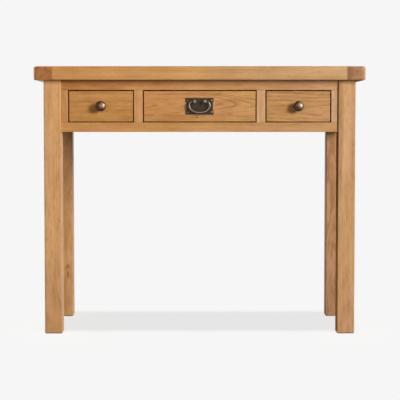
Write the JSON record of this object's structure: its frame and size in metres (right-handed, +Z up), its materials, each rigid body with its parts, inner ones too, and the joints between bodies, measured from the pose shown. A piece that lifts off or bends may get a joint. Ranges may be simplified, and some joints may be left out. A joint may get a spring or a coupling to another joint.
{
  "type": "dressing table",
  "caption": "Oak dressing table: thick rounded top on square legs, a row of inset drawers in the front frame, round knobs on the side drawers and a bail pull in the middle.",
  "frame": {"origin": "on the floor, under the middle of the top", "axes": "+X to the right along the width as seen from the front, +Y to the rear, +Z up; the drawers open towards -Y"},
  "size_m": [0.96, 0.45, 0.78],
  "materials": {
    "oak_top": "satin oiled oak",
    "oak_top_end": "satin oiled oak, end grain at the front",
    "oak_leg": "satin oiled oak",
    "oak_frame": "satin oiled oak",
    "oak_drawer_front": "satin oiled oak",
    "oak_inside": "plain sanded oak",
    "dark_bronze": "dark antique bronze",
    "worn_bronze": "antique bronze, rubbed bright",
    "screw_steel": "plain zinc"
  },
  "bodies": {
    "carcass": {"top_panel": "oak_top", "top_front_edge": "oak_top", "top_rear_edge": "oak_top", "top_left_end": "oak_top_end", "top_right_end": "oak_top_end", "leg_front_left": "oak_leg", "leg_front_right": "oak_leg", "leg_rear_left": "oak_leg", "leg_rear_right": "oak_leg", "side_apron_left": "oak_frame", "side_apron_right": "oak_frame", "rear_apron": "oak_frame", "front_top_rail": "oak_frame", "front_bottom_rail": "oak_frame", "front_stile_left": "oak_frame", "front_stile_right": "oak_frame", "muntin_left": "oak_frame", "muntin_right": "oak_frame", "runner_left_end": "oak_inside", "runner_left_muntin": "oak_inside", "runner_right_muntin": "oak_inside", "runner_right_end": "oak_inside", "kicker_left_end": "oak_inside", "kicker_left_muntin": "oak_inside", "kicker_right_muntin": "oak_inside", "kicker_right_end": "oak_inside", "drawer_stop_left": "oak_inside", "drawer_stop_middle": "oak_inside", "drawer_stop_right": "oak_inside"},
    "drawer_left": {"drawer_left_front": "oak_drawer_front", "drawer_left_side_left": "oak_inside", "drawer_left_side_right": "oak_inside", "drawer_left_back": "oak_inside", "drawer_left_bottom": "oak_inside", "knob_left": "dark_bronze", "knob_screw_left": "screw_steel"},
    "drawer_middle": {"drawer_middle_front": "oak_drawer_front", "drawer_middle_side_left": "oak_inside", "drawer_middle_side_right": "oak_inside", "drawer_middle_back": "oak_inside", "drawer_middle_bottom": "oak_inside", "bail_plate": "dark_bronze", "bail_post_left": "worn_bronze", "bail_post_right": "worn_bronze", "bail_nut_left": "screw_steel", "bail_nut_right": "screw_steel", "plate_pin_upper_left": "worn_bronze", "plate_pin_upper_right": "worn_bronze", "plate_pin_lower_left": "worn_bronze", "plate_pin_lower_right": "worn_bronze"},
    "drawer_right": {"drawer_right_front": "oak_drawer_front", "drawer_right_side_left": "oak_inside", "drawer_right_side_right": "oak_inside", "drawer_right_back": "oak_inside", "drawer_right_bottom": "oak_inside", "knob_right": "dark_bronze", "knob_screw_right": "screw_steel"},
    "bail": {"bail_handle": "worn_bronze"}
  },
  "joints": [
    {"name": "drawer_left_slide", "type": "slide", "parent": "carcass", "child": "drawer_left", "axis": [0, -1, 0], "range_m": [0, 0.28]},
    {"name": "drawer_middle_slide", "type": "slide", "parent": "carcass", "child": "drawer_middle", "axis": [0, -1, 0], "range_m": [0, 0.28]},
    {"name": "drawer_right_slide", "type": "slide", "parent": "carcass", "child": "drawer_right", "axis": [0, -1, 0], "range_m": [0, 0.28]},
    {"name": "bail_swing", "type": "hinge", "parent": "drawer_middle", "child": "bail", "pos_m": [0, -0.2082, 0.6783], "axis": [-1, 0, 0], "range_deg": [-10, 175]}
  ]
}
